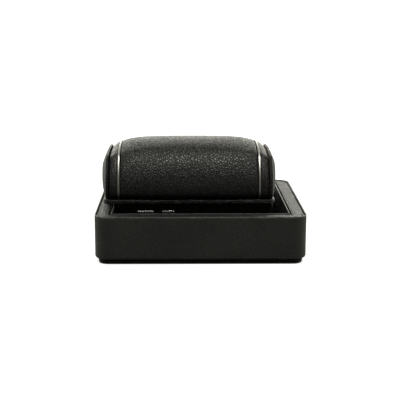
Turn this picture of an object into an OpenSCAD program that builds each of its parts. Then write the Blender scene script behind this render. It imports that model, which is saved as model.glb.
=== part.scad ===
// Display tray with a lift-off bracelet cuff: a leather-wrapped board case with a
// lined well, a padded pedestal in the well, and a watch cuff that sits on it.
// Units are millimetres. +Z is up, +X is the viewer's right, -Y is the front.
// The origin is the centre of the footprint, on the surface the case stands on.

/* [Case] */
// Width of the case over its leather
case_w = 130; // [100:1:180]
// Depth of the case over its leather
case_d = 115; // [95:1:160]
// Height of the rim above the table
case_h = 30; // [24:0.5:45]
// Radius of the case's upright corners
corner_r = 8.5; // [5:0.5:9]
// Thickness of the case leather
wrap_t = 0.9; // [0.6:0.1:1.2]
// How far the case leather turns in under the boards
wrap_turn_in = 3.6; // [3:0.1:4.5]
// Rounding of the case's lower edge
lower_edge_r = 1.4; // [1.2:0.1:3.5]

/* [Base] */
// Thickness of the base board
base_t = 2.6; // [1.8:0.1:4]
// Thickness of the felt under the base board
felt_t = 0.6; // [0.5:0.1:1.5]
// How far the base board stands in from the case
base_inset = 2; // [1:0.1:2.5]
// Thickness of the well's floor board
floor_t = 2.4; // [2:0.1:4]
// Thickness of the suede on the floor
suede_t = 0.6; // [0.4:0.1:1]

/* [Collar and liner] */
// Total thickness of the flat collar on the rim
collar_t = 2.4; // [2:0.1:3.5]
// Thickness of the collar's leather
collar_skin = 0.5; // [0.4:0.1:0.8]
// Width of the collar's flat top
collar_w = 7.4; // [6.5:0.1:9]
// How far the collar lies below the rim
collar_drop = 0.4; // [0.2:0.1:1]
// Gap between the rim and the collar
outer_groove = 0.5; // [0.4:0.1:1]
// Gap between the collar and the liner
inner_groove = 1.1; // [0.6:0.1:1.4]
// Thickness of each liner panel
liner_t = 0.8; // [0.8:0.1:1.6]

/* [Pedestal] */
// How far the pedestal and the cuff stand behind the case's middle
seat_y = 5; // [0:0.5:7]
// Width of the pedestal over its leather
pedestal_w = 98.5; // [80:0.5:100]
// Depth of the pedestal over its leather
pedestal_d = 62; // [50:1:72]
// How far the pedestal stands above the rim
pedestal_rise = 1.2; // [0.8:0.1:18]
// Sideways place of the pedestal's centre
pedestal_x = -2.75; // [-3:0.05:1]
// Thickness of the pedestal's boards
pedestal_board = 3; // [2.4:0.1:4]
// Thickness of the pedestal's leather
pedestal_skin = 0.6; // [0.4:0.1:1]
// Side of the glue blocks in the pedestal's corners
block_side = 9; // [8:0.5:12]

/* [Cuff] */
// Sideways place of the cuff's centre
cuff_x = -6.8; // [-8:0.05:4]
// Distance between the two bright trims
trim_span = 89.3; // [70:1:96]
// Thickness of each trim
trim_t = 1.1; // [0.8:0.1:1.8]
// How far a trim stands proud of the leather
trim_proud = 0.35; // [0.2:0.05:0.6]
// Length of each end bolster
bolster_len = 5.4; // [4:0.1:9]
// Thickness of the board between a bolster and its end cap
spacer_t = 0.8; // [0.6:0.1:1.2]
// How far that board stands in from the end cap's edge
spacer_inset = 2.4; // [1.5:0.1:3]
// Thickness of an end cap at its edge
cap_edge = 1.4; // [1.2:0.1:3]
// How far an end cap bulges beyond its edge
cap_bulge = 4.2; // [2:0.1:5]
// How far an end cap's edge stands proud of its bolster
cap_flare = 0.9; // [0.4:0.1:1.5]
// Depth of the cuff at its ends, front to back
cuff_d = 68; // [60:1:76]
// Extra depth of the cushion at its middle
cushion_bulge = 2.4; // [0:0.2:5]
// Height of the cuff's shoulder at its ends, above its saddle
end_rise = 25.6; // [20:0.1:30]
// Extra height of the shoulder at the trims
trim_rise = 2.2; // [0:0.1:3]
// Extra height of the shoulder at the middle
middle_rise = 4.6; // [0:0.1:5]
// Crown of the end caps above their shoulder
end_crown = 1.4; // [0.6:0.1:3]
// Crown at the trims
trim_crown = 4.0; // [2:0.1:6]
// Crown at the middle of the cushion
middle_crown = 4.6; // [2:0.1:8]
// Thickness of the cushion's leather
cover_t = 0.9; // [0.6:0.1:1.4]

/* [Cuff core and saddle] */
// Depth of the moulded core inside the cushion
core_d = 46; // [36:1:50]
// Height of the moulded core
core_h = 17; // [14:0.5:19]
// Wall of the moulded core
core_wall = 2.2; // [1.8:0.1:3]
// End wall of the moulded core
core_end = 6; // [5:0.5:8]
// Total thickness of the saddle plate
saddle_t = 2.9; // [2.4:0.1:4]
// Thickness of the saddle's leather
saddle_skin = 0.5; // [0.4:0.1:0.8]
// How far the saddle stops short of the end caps' bulge
saddle_short = 2.4; // [1.5:0.1:4]
// Radius of the saddle's upright corners
saddle_r = 5; // [3:0.5:8]

/* [Hardware] */
// Radius of the locating pegs
peg_r = 2; // [1.5:0.1:3]
// How far the pegs reach below the saddle
peg_reach = 3.2; // [2.5:0.1:3.4]
// Distance between the pegs
peg_span = 60; // [40:1:66]
// Wall of the sockets that take the pegs
socket_wall = 1.2; // [0.8:0.1:2]
// Running clearance of a peg in its socket, on radius
peg_gap = 0.06; // [0.03:0.01:0.1]
// Radius of the wood screws' shanks
screw_r = 1.3; // [1:0.1:1.6]
// Length of the base screws
base_screw_l = 12; // [9:0.5:16]
// Length of the pedestal screws
pedestal_screw_l = 11; // [9:0.5:14]
// Length of the saddle and end screws
cuff_screw_l = 7; // [6:0.5:9]
// Height of the blank plates on the pedestal's front
plate_h = 8; // [5:0.5:12]
// Thickness of those plates
plate_t = 0.8; // [0.6:0.1:1.2]
// Width of the left plate
plate_left_w = 10.4; // [6:0.1:14]
// Width of the right plate
plate_right_w = 7.8; // [6:0.1:14]
// Gap between the two plates
plate_gap = 5.4; // [3:0.1:10]
// Distance from the pedestal's left end to the left plate
plate_from_end = 12.2; // [6:0.1:20]
// How far the plates' tops lie below the pedestal's top
plate_drop = 4.1; // [2:0.1:8]

/* [Hidden] */
$fn = 48;
eps = 0.01;

// Clearances
fit = 0.1;             // boards that slip together
seat_gap = 0.2;        // the cuff's saddle above the pedestal
hole_gap = 0.05;       // screws in their holes, on radius
soft_gap = 0.15;       // foam round the core

// Heights of the case's layers
board_z = felt_t + base_t;               // top of the base board
pedestal_h = case_h + pedestal_rise;     // top of the pedestal
floor_z = board_z + floor_t;             // underside of the suede
well_z = floor_z + suede_t;              // floor of the well
carcass_z = board_z + wrap_t;            // underside of the case boards
collar_z = case_h - collar_drop - collar_t;
liner_h = case_h - collar_drop / 2 - well_z;

// Distances in from the case's outer face
lip_w = wrap_t;
collar_out = lip_w + outer_groove;
collar_in = collar_out + collar_w;
liner_out = collar_in + inner_groove;
board_in = liner_out - fit;
felt_inset = base_inset + 0.2;
inner_corner_r = 1;    // of the collar's opening
lip_r = 0.75 * lip_w;
lip_inner_r = lip_w - lip_r;
lower_inner_r = lower_edge_r - wrap_t;
screw_line = (wrap_turn_in + board_in) / 2 + screw_r / 2;

// The cuff's stations along X, measured from its centre, and its levels
trim_in = trim_span / 2 - trim_t / 2;
trim_out = trim_span / 2 + trim_t / 2;
bolster_out = trim_out + bolster_len;
spacer_out = bolster_out + spacer_t;
cap_out = spacer_out + cap_edge + cap_bulge;
saddle_z = pedestal_h + seat_gap;
cuff_z = saddle_z + saddle_t;
saddle_half = cap_out - saddle_short;
core_half = bolster_out;

// The cuff's outline: an ellipse below the shoulder and a parabola above it
nose_rise = 5.4;       // height of the widest line above the saddle
shoulder_share = 0.72;
bottom_r = 4;
cuff_steps = 10;
top_steps = 12;
cushion_slices = 9;
crown_power = 6;

// Screws
head_r = 2 * screw_r;
head_h = screw_r;
pilot_r = 0.8 * screw_r;
boss_r = pilot_r + 2;

// --- Shared shapes ---------------------------------------------------------

// Rectangle with round corners, centred on the origin
module round_rect(w, d, r) {
    square([w - 2 * r, d], center = true);
    square([w, d - 2 * r], center = true);
    for (x = [-1, 1], y = [-1, 1])
        translate([x * (w / 2 - r), y * (d / 2 - r)]) circle(r);
}

// Plate that follows the case's outline, some way in from its outer face
module case_plate(inset, z, t, radius) {
    translate([0, 0, z])
        linear_extrude(t) round_rect(case_w - 2 * inset, case_d - 2 * inset, radius);
}

// Carries a section round the case. The section's x is the distance in from the
// outer face, and its y is the height.
module around_case(section) {
    straight_x = case_w - 2 * corner_r;
    straight_y = case_d - 2 * corner_r;
    outward = [for (p = section) [corner_r - p[0], p[1]]];
    for (side = [0, 1]) rotate([0, 0, 180 * side]) {
        translate([case_w / 2 - corner_r, straight_y / 2, 0])
            rotate([90, 0, 0]) linear_extrude(straight_y) polygon(outward);
        translate([-straight_x / 2, case_d / 2 - corner_r, 0])
            rotate([90, 0, 90]) linear_extrude(straight_x) polygon(outward);
        translate([case_w / 2 - corner_r, case_d / 2 - corner_r, 0])
            rotate_extrude(angle = 90) polygon(outward);
        translate([-case_w / 2 + corner_r, case_d / 2 - corner_r, 0])
            rotate([0, 0, 90]) rotate_extrude(angle = 90) polygon(outward);
    }
}

// Points of an arc about c, from angle a to angle b
function arc(c, r, a, b, steps = 6) =
    [for (i = [0:steps]) c + r * [cos(a + (b - a) * i / steps), sin(a + (b - a) * i / steps)]];

// Countersunk screw that points up, with the outside of its head at z = 0
module screw(length, gap = 0) {
    cylinder(h = head_h + gap, r1 = head_r + gap, r2 = screw_r + gap);
    cylinder(h = length + gap, r = screw_r + gap);
}

module at_base_screws() {
    x = case_w / 2 - screw_line;
    y = case_d / 2 - screw_line;
    for (sx = [-1, 1], sy = [-1, 1])
        translate([sx * x * 0.75, sy * y, felt_t]) children();
    for (sx = [-1, 1])
        translate([sx * x, 0, felt_t]) children();
}

// --- Base ------------------------------------------------------------------

module base_felt() {
    color([0.03, 0.03, 0.03]) case_plate(felt_inset, 0, felt_t, corner_r - felt_inset);
}

module base_board() {
    color([0.05, 0.05, 0.05]) difference() {
        case_plate(base_inset, felt_t, base_t, corner_r - base_inset);
        translate([0, 0, -eps]) at_base_screws() screw(base_screw_l, hole_gap);
    }
}

module base_screws() {
    color("silver") at_base_screws() screw(base_screw_l);
}

// --- Case boards and leather -----------------------------------------------

// Section of a board, down to some depth in from the outer face
function board_section(depth) = concat(
    arc([lower_edge_r, board_z + lower_edge_r], lower_inner_r, 180, 270),
    [[depth, carcass_z], [depth, collar_z], [wrap_t, collar_z]]
);

// Board along a side of the case: x in the section is the distance in from the face
module board_run(length, depth) {
    rotate([90, 0, 90]) translate([0, 0, -length / 2])
        linear_extrude(length) polygon(board_section(depth));
}

// The front and back boards run the full width and turn the case's corners
module carcass_end(turn) {
    color([0.55, 0.42, 0.3]) rotate([0, 0, turn]) difference() {
        union() {
            translate([0, -case_d / 2, 0]) board_run(case_w - 2 * corner_r, board_in);
            for (side = [0, 1]) mirror([side, 0, 0]) {
                translate([case_w / 2 - corner_r, corner_r - case_d / 2, 0])
                    rotate([0, 0, -90]) rotate_extrude(angle = 90)
                    polygon([for (p = board_section(corner_r)) [corner_r - p[0], p[1]]]);
                translate([case_w / 2, (corner_r + board_in - case_d) / 2, 0])
                    rotate([0, 0, 90]) board_run(board_in - corner_r, corner_r);
            }
        }
        at_base_screws() screw(base_screw_l, hole_gap);
    }
}

// The side boards stand between the front and the back
module carcass_side(turn) {
    color([0.6, 0.47, 0.34]) rotate([0, 0, turn]) difference() {
        translate([case_w / 2, 0, 0]) rotate([0, 0, 90]) board_run(case_d - 2 * board_in, board_in);
        at_base_screws() screw(base_screw_l, hole_gap);
    }
}

module carcass_front() { carcass_end(0); }
module carcass_back() { carcass_end(180); }
module carcass_left() { carcass_side(180); }
module carcass_right() { carcass_side(0); }

// Leather from the turned-over lip, down the outside, and in under the boards
wrap_section = concat(
    arc([lower_edge_r, board_z + lower_edge_r], lower_edge_r, 270, 180),
    arc([lip_r, case_h - lip_r], lip_r, 180, 90),
    arc([lip_w - lip_inner_r, case_h - lip_inner_r], lip_inner_r, 90, 0, 3),
    arc([lower_edge_r, board_z + lower_edge_r], lower_inner_r, 180, 270),
    [[wrap_turn_in, carcass_z], [wrap_turn_in, board_z]]
);

module case_wrap() {
    color([0.1, 0.1, 0.1]) around_case(wrap_section);
}

// --- Collar ----------------------------------------------------------------

module collar_ring(skin, z, t) {
    difference() {
        case_plate(collar_out + skin, z, t, corner_r - collar_out - skin);
        case_plate(collar_in - skin, z - 1, t + 2, inner_corner_r);
    }
}

module collar_board() {
    color([0.5, 0.38, 0.28]) collar_ring(collar_skin, collar_z, collar_t - collar_skin);
}

module collar_wrap() {
    color([0.16, 0.16, 0.16]) difference() {
        collar_ring(0, collar_z, collar_t);
        collar_ring(collar_skin, collar_z - eps, collar_t - collar_skin + eps);
    }
}

// --- Well ------------------------------------------------------------------

well_w = case_w - 2 * liner_out;
well_d = case_d - 2 * liner_out;

module liner_end(side) {
    y = side > 0 ? well_d / 2 - liner_t : -well_d / 2;
    color([0.07, 0.07, 0.07]) translate([-well_w / 2 + liner_t, y, well_z])
        cube([well_w - 2 * liner_t, liner_t, liner_h]);
}

module liner_side(side) {
    x = side > 0 ? well_w / 2 - liner_t : -well_w / 2;
    color([0.08, 0.08, 0.08]) translate([x, -well_d / 2, well_z])
        cube([liner_t, well_d, liner_h]);
}

module liner_front() { liner_end(-1); }
module liner_back() { liner_end(1); }
module liner_left() { liner_side(-1); }
module liner_right() { liner_side(1); }

module floor_panel(z, t) {
    translate([-well_w / 2, -well_d / 2, z]) cube([well_w, well_d, t]);
}

module at_pedestal_screws() {
    x = pedestal_w / 2 - pedestal_skin - pedestal_board - block_side / 2;
    y = pedestal_d / 2 - pedestal_skin - pedestal_board - block_side / 2;
    for (sx = [-1, 1], sy = [-1, 1])
        translate([pedestal_x + sx * x, seat_y + sy * y, board_z]) children();
}

module floor_board() {
    color([0.6, 0.48, 0.36]) difference() {
        floor_panel(board_z, floor_t);
        translate([0, 0, -eps]) at_pedestal_screws() screw(pedestal_screw_l, hole_gap);
    }
}

module floor_suede() {
    color([0.04, 0.04, 0.04]) difference() {
        floor_panel(floor_z, suede_t);
        at_pedestal_screws() cylinder(h = floor_t + 2, r = screw_r + hole_gap);
    }
}

// --- Pedestal --------------------------------------------------------------

pedestal_frame_h = pedestal_h - pedestal_skin - pedestal_board - well_z;

module pedestal_box(inset, z, t) {
    translate([pedestal_x - pedestal_w / 2 + inset, seat_y - pedestal_d / 2 + inset, z])
        cube([pedestal_w - 2 * inset, pedestal_d - 2 * inset, t]);
}

module pedestal_frame() {
    inner = pedestal_skin + pedestal_board;
    color([0.58, 0.45, 0.33]) difference() {
        union() {
            difference() {
                pedestal_box(pedestal_skin, well_z, pedestal_frame_h);
                pedestal_box(inner, well_z - 1, pedestal_frame_h + 2);
            }
            at_pedestal_screws() translate([-block_side / 2, -block_side / 2, well_z - board_z])
                cube([block_side, block_side, pedestal_frame_h]);
        }
        at_pedestal_screws() cylinder(h = pedestal_screw_l + 1, r = screw_r + hole_gap);
    }
}

module at_pegs() {
    for (sx = [-1, 1]) translate([cuff_x + sx * peg_span / 2, seat_y, 0]) children();
}

socket_r = peg_r + peg_gap + socket_wall;
socket_z = pedestal_h - pedestal_skin - pedestal_board;

module pedestal_top() {
    color([0.52, 0.4, 0.3]) difference() {
        pedestal_box(pedestal_skin, socket_z, pedestal_board);
        at_pegs() translate([0, 0, socket_z - 1])
            cylinder(h = pedestal_board + 2, r = socket_r + hole_gap);
    }
}

module pedestal_wrap() {
    color([0.09, 0.09, 0.09]) difference() {
        pedestal_box(0, well_z, pedestal_h - well_z);
        pedestal_box(pedestal_skin, well_z - 1, pedestal_h - pedestal_skin - well_z + 1);
        at_pegs() translate([0, 0, pedestal_h - 2])
            cylinder(h = 3, r = socket_r + hole_gap);
    }
}

module pedestal_screws() {
    color("silver") at_pedestal_screws() screw(pedestal_screw_l);
}

module peg_sockets() {
    color([0.72, 0.58, 0.3]) at_pegs() translate([0, 0, socket_z]) difference() {
        cylinder(h = pedestal_h - socket_z, r = socket_r);
        translate([0, 0, -1]) cylinder(h = pedestal_h, r = peg_r + peg_gap);
    }
}

module nameplate(x, w) {
    color([0.85, 0.85, 0.87])
        translate([x, seat_y - pedestal_d / 2 - plate_t, pedestal_h - plate_drop - plate_h])
        cube([w, plate_t, plate_h]);
}

plate_left_x = pedestal_x - pedestal_w / 2 + plate_from_end;

module nameplate_left() { nameplate(plate_left_x, plate_left_w); }
module nameplate_right() { nameplate(plate_left_x + plate_left_w + plate_gap, plate_right_w); }

// --- Saddle ----------------------------------------------------------------

module saddle_plate(inset, z, t) {
    translate([cuff_x, seat_y, z])
        linear_extrude(t)
        round_rect(2 * (saddle_half - inset), cuff_d - 2 * inset, saddle_r - inset);
}

module at_saddle_screws() {
    x = core_half - core_end - boss_r - 4;
    y = core_d / 2 - core_wall / 2 - boss_r;
    for (sx = [-1, 1], sy = [-1, 1])
        translate([cuff_x + sx * x, seat_y + sy * y, saddle_z + saddle_skin]) children();
}

module saddle_board() {
    color([0.5, 0.38, 0.28]) difference() {
        saddle_plate(saddle_skin, saddle_z + saddle_skin, saddle_t - 2 * saddle_skin);
        translate([0, 0, -eps]) at_saddle_screws() screw(cuff_screw_l, hole_gap);
        at_pegs() translate([0, 0, saddle_z - 1]) cylinder(h = saddle_t + 2, r = peg_r + hole_gap);
    }
}

module saddle_wrap() {
    color([0.11, 0.11, 0.11]) difference() {
        saddle_plate(0, saddle_z, saddle_t);
        saddle_plate(saddle_skin, saddle_z + saddle_skin, saddle_t - 2 * saddle_skin);
        at_saddle_screws() cylinder(h = saddle_t, r = screw_r + hole_gap);
        at_pegs() translate([0, 0, saddle_z - 1])
            cylinder(h = saddle_t - saddle_skin + 1 + eps, r = peg_r + hole_gap);
    }
}

module saddle_screws() {
    color("silver") at_saddle_screws() screw(cuff_screw_l);
}

module locating_pegs() {
    color([0.75, 0.6, 0.32]) at_pegs() translate([0, 0, saddle_z - peg_reach])
        cylinder(h = peg_reach + saddle_t - saddle_skin, r = peg_r);
}

// --- Cuff outline ----------------------------------------------------------

// Half of the outline as [depth, height] points from the bottom to the shoulder
function loaf_side(a, shoulder) =
    let (
        nose = cuff_z + nose_rise,
        b = (shoulder - nose) / shoulder_share,
        low = cuff_z + bottom_r,
        start = asin((low - nose) / b),
        stop = asin(shoulder_share),
        width = a * cos(start)
    )
    concat(
        arc([width - bottom_r, low], bottom_r, 270, 360, 4),
        [for (i = [1:cuff_steps])
            let (t = start + (stop - start) * i / cuff_steps)
            [a * cos(t), nose + b * sin(t)]]
    );

// Closed outline of the cuff: half depth a, shoulder height, crown above it
function loaf(a, shoulder, crown) =
    let (
        side = loaf_side(a, shoulder),
        last = len(side) - 1,
        edge = side[last][0],
        top = [for (i = [1:top_steps - 1])
            let (u = 1 - 2 * i / top_steps) [edge * u, shoulder + crown * (1 - u * u)]],
        other = [for (i = [0:last]) [-side[last - i][0], side[last - i][1]]]
    )
    concat(side, top, other);

function end_loaf(proud) = loaf(cuff_d / 2 + proud, cuff_z + end_rise + proud, end_crown);
function trim_loaf(proud) =
    loaf(cuff_d / 2 + proud, cuff_z + end_rise + trim_rise + proud, trim_crown);

// Outline of the cushion at a distance x from its middle, with skin taken off
function cushion_loaf(x, skin) =
    let (w = 1 - pow(abs(x) / trim_in, crown_power))
    loaf(
        cuff_d / 2 + cushion_bulge / 2 * w - skin,
        cuff_z + end_rise + trim_rise + (middle_rise - trim_rise) * w - skin,
        trim_crown + (middle_crown - trim_crown) * w
    );

// Solid with one outline, from x0 to x1 along the cuff
module slice(x0, x1, outline) {
    translate([cuff_x + x0, seat_y, 0])
        rotate([90, 0, 90]) linear_extrude(x1 - x0) polygon(outline);
}

// Closed solid through outlines with equally many points, at places xs along the cuff
module loft(xs, outlines) {
    n = len(outlines[0]);
    last = (len(xs) - 1) * n;
    points = [for (i = [0:len(xs) - 1], p = outlines[i]) [cuff_x + xs[i], seat_y + p[0], p[1]]];
    sides = [for (i = [0:len(xs) - 2], j = [0:n - 1], half = [0, 1])
        let (a = i * n + j, b = i * n + (j + 1) % n)
        half == 0 ? [a, a + n, b + n] : [a, b + n, b]];
    near = [for (j = [0:n - 1]) j];
    far = [for (j = [0:n - 1]) last + n - 1 - j];
    polyhedron(points, concat(sides, [near, far]));
}

module core_box(grow, z0 = 0) {
    translate([cuff_x - core_half - grow, seat_y - core_d / 2 - grow, cuff_z - z0])
        cube([2 * (core_half + grow), core_d + 2 * grow, core_h + z0 + grow]);
}

// --- Cuff core and end boards ----------------------------------------------

module at_end_screws() {
    for (sx = [-1, 1], sy = [-1, 1])
        translate([cuff_x + sx * spacer_out, seat_y + sy * core_d / 4, cuff_z + core_h / 2])
        rotate([0, -sx * 90, 0]) children();
}

module cuff_core() {
    color([0.2, 0.2, 0.22]) difference() {
        union() {
            difference() {
                core_box(0);
                translate([cuff_x - core_half + core_end, seat_y - core_d / 2 + core_wall, cuff_z - 1])
                    cube([2 * (core_half - core_end), core_d - 2 * core_wall, core_h - core_wall + 1]);
            }
            at_saddle_screws() translate([0, 0, cuff_z - saddle_z - saddle_skin])
                cylinder(h = core_h - core_wall / 2, r = boss_r);
        }
        at_saddle_screws() cylinder(h = cuff_screw_l + 1, r = screw_r + hole_gap);
        at_end_screws() screw(cuff_screw_l + 1, hole_gap);
    }
}

module end_screws() {
    color("silver") at_end_screws() screw(cuff_screw_l);
}

// Board between a bolster and its end cap; it leaves the dark groove
module spacer(side) {
    x0 = side > 0 ? bolster_out : -spacer_out;
    color([0.03, 0.03, 0.03]) difference() {
        slice(x0, x0 + spacer_t, loaf(
            cuff_d / 2 - spacer_inset, cuff_z + end_rise - spacer_inset, end_crown));
        at_end_screws() translate([0, 0, -eps]) screw(cuff_screw_l, hole_gap);
    }
}

module spacer_left() { spacer(-1); }
module spacer_right() { spacer(1); }

// --- Cushion, trims and bolsters -------------------------------------------

// Places of the cushion's outlines, closer together towards its ends
cushion_xs = [for (i = [0:cushion_slices - 1]) trim_in * sin(90 * (2 * i / (cushion_slices - 1) - 1))];

// The cushion with some skin taken off, its ends carried past the trims by over
module cushion_solid(skin, over = 0) {
    loft(
        [for (i = [0:cushion_slices - 1])
            cushion_xs[i] + (i == 0 ? -over : i == cushion_slices - 1 ? over : 0)],
        [for (x = cushion_xs) [for (p = cushion_loaf(x, skin)) [p[0], p[1] + skin_lift(p[1], skin)]]]
    );
}

// Lifts the underside of an inner outline by the skin's thickness
function skin_lift(z, skin) = skin * max(0, 1 - (z - cuff_z) / bottom_r);

module cushion_cover() {
    color([0.13, 0.13, 0.13]) difference() {
        cushion_solid(0);
        cushion_solid(cover_t, 1);
        core_box(soft_gap, 1);
    }
}

module cushion_foam() {
    color([0.75, 0.73, 0.65]) difference() {
        cushion_solid(cover_t + soft_gap);
        core_box(soft_gap, 1);
    }
}

// Bright plate between the cushion and a bolster
module trim_plate(side) {
    x0 = side > 0 ? trim_in : -trim_out;
    color([0.8, 0.8, 0.82]) difference() {
        slice(x0, x0 + trim_t, trim_loaf(trim_proud));
        core_box(soft_gap, 1);
    }
}

module trim_left() { trim_plate(-1); }
module trim_right() { trim_plate(1); }

module bolster(side) {
    color([0.12, 0.12, 0.12]) difference() {
        if (side > 0) loft([trim_out, bolster_out], [trim_loaf(0), end_loaf(0)]);
        else loft([-bolster_out, -trim_out], [end_loaf(0), trim_loaf(0)]);
        core_box(soft_gap, 1);
    }
}

module bolster_left() { bolster(-1); }
module bolster_right() { bolster(1); }

// --- End caps --------------------------------------------------------------

cap_board_t = cap_edge * 0.7;
cap_board_inset = 1;

module cap_board(side) {
    x0 = side > 0 ? spacer_out : -spacer_out - cap_board_t;
    color([0.5, 0.38, 0.28]) slice(x0, x0 + cap_board_t, end_loaf(cap_flare - cap_board_inset));
}

module cap_board_left() { cap_board(-1); }
module cap_board_right() { cap_board(1); }

// Places of the end cap's outlines, each with how far it is drawn in
cap_rings = [
    [0, 0],
    [0.8 * cap_edge, 0],
    [cap_edge, 0.5],
    [cap_edge + 0.36 * cap_bulge, 3],
    [cap_edge + 0.68 * cap_bulge, 6.5],
    [cap_edge + 0.92 * cap_bulge, 10.5],
    [cap_edge + cap_bulge, 13]
];

// The end cap's outline drawn in by d all round, its lower edge lifted with it
function cap_outline(d) = [for (p = end_loaf(cap_flare)) [
    p[0] * (1 - 2 * d / cuff_d),
    cuff_z + 0.8 * d + (p[1] - cuff_z) * (1 - 1.6 * d / end_rise)
]];

// Domed pad that wraps over the cap board's edge
module end_cap(side) {
    rings = side > 0 ? cap_rings : [for (i = [1:len(cap_rings)]) cap_rings[len(cap_rings) - i]];
    x0 = side > 0 ? spacer_out - 1 : -spacer_out - cap_board_t - fit;
    color([0.14, 0.14, 0.14]) difference() {
        loft([for (r = rings) side * (spacer_out + r[0])], [for (r = rings) cap_outline(r[1])]);
        slice(x0, x0 + cap_board_t + fit + 1, end_loaf(fit + cap_flare - cap_board_inset));
    }
}

module end_cap_left() { end_cap(-1); }
module end_cap_right() { end_cap(1); }

// --- Nodes -----------------------------------------------------------------

base_felt();
base_board();
base_screws();
carcass_front();
carcass_back();
carcass_left();
carcass_right();
case_wrap();
collar_board();
collar_wrap();
liner_front();
liner_back();
liner_left();
liner_right();
floor_board();
floor_suede();
pedestal_frame();
pedestal_top();
pedestal_wrap();
pedestal_screws();
peg_sockets();
nameplate_left();
nameplate_right();
saddle_board();
saddle_wrap();
saddle_screws();
locating_pegs();
cuff_core();
cushion_foam();
cushion_cover();
trim_left();
trim_right();
bolster_left();
bolster_right();
spacer_left();
spacer_right();
end_screws();
cap_board_left();
cap_board_right();
end_cap_left();
end_cap_right();
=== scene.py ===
"""Leather display tray with a lift-off bracelet cuff.

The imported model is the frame. The classes below build the leather, metal and board
pieces that show, each from a ring or a profile carried along a path, and dress every
node that stays as it is. Lengths are metres, +Z is up and -Y is the front.
"""

import logging
import math
from dataclasses import dataclass, field
from enum import Enum

import bpy
import numpy as np
from mathutils import Matrix, Vector


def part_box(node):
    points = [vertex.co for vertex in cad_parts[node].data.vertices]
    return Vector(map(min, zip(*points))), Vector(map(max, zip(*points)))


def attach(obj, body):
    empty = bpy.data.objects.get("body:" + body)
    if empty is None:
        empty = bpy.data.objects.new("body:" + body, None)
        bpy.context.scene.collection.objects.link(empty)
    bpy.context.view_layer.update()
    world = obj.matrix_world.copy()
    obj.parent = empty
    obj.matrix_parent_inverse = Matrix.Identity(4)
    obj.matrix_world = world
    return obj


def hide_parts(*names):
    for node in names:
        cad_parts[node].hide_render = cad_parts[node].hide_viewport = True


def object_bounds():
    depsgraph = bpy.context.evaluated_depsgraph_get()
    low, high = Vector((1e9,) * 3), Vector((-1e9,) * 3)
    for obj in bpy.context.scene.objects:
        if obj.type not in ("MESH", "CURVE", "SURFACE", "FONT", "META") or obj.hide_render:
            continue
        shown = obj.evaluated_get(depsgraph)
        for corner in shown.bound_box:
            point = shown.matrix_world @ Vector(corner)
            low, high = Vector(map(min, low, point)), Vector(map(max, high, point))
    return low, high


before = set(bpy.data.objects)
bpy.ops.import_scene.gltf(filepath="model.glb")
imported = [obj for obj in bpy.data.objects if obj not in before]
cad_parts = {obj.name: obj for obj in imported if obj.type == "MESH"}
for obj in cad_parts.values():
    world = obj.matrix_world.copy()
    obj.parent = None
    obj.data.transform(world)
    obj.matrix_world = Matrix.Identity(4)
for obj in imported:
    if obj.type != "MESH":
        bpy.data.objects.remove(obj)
cad_low, cad_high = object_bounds()

MM = 0.001
EDGE = "edge"
DUST_COLOUR = (0.16, 0.155, 0.15, 1.0)
LINT_COLOUR = (0.2, 0.19, 0.18, 1.0)
Colour = tuple[float, float, float]
Pair = tuple[float, float]
log = logging.getLogger("tray")


class Body(Enum):
    """The two rigid bodies of the tray."""

    CASE = "case"
    CUFF = "cuff"


class Side(Enum):
    """One end of the cuff, with its sign along X."""

    LEFT = -1
    RIGHT = 1

    @property
    def word(self) -> str:
        """The side's name in lower case."""
        return self.name.lower()


# --- Shapes: arcs, rings and surfaces ----------------------------------------


def arc(centre: Pair, radius: float, start: float, stop: float, steps: int = 6) -> np.ndarray:
    """Points of a circular arc.

    Each point is the centre plus the radius times (cosine, sine) of an angle that
    runs evenly from start to stop.

    Args:
        centre: The arc's centre.
        radius: The arc's radius.
        start: First angle in degrees.
        stop: Last angle in degrees.
        steps: How many pieces the arc is cut into.

    Returns:
        An array of (steps + 1, 2) points.
    """
    angle = np.radians(np.linspace(start, stop, steps + 1))
    return np.asarray(centre) + radius * np.stack([np.cos(angle), np.sin(angle)], -1)


def rounded_rectangle(half_x: float, half_y: float, radius: float, arc_steps: int = 8,
                      side_steps: int = 10) -> np.ndarray:
    """Ring round a rectangle with round corners, anticlockwise from its right side.

    Four quarter circles stand at the corners, and evenly spaced points fill the
    straight stretches between one arc's end and the next arc's start.

    Args:
        half_x: Half of the size along X.
        half_y: Half of the size along Y.
        radius: Corner radius.
        arc_steps: Pieces in each corner.
        side_steps: Pieces in each straight side.

    Returns:
        An array of (N, 2) points.
    """
    signs = ((1, 1), (-1, 1), (-1, -1), (1, -1))
    corners = [
        arc((sx * (half_x - radius), sy * (half_y - radius)), radius, 90 * k, 90 * k + 90, arc_steps)
        for k, (sx, sy) in enumerate(signs)
    ]
    share = np.arange(1, side_steps)[:, None] / side_steps
    parts = []
    for k, corner in enumerate(corners):
        following = corners[(k + 1) % 4][0]
        parts += [corner, corner[-1] + share * (following - corner[-1])]
    return np.concatenate(parts)


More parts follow.
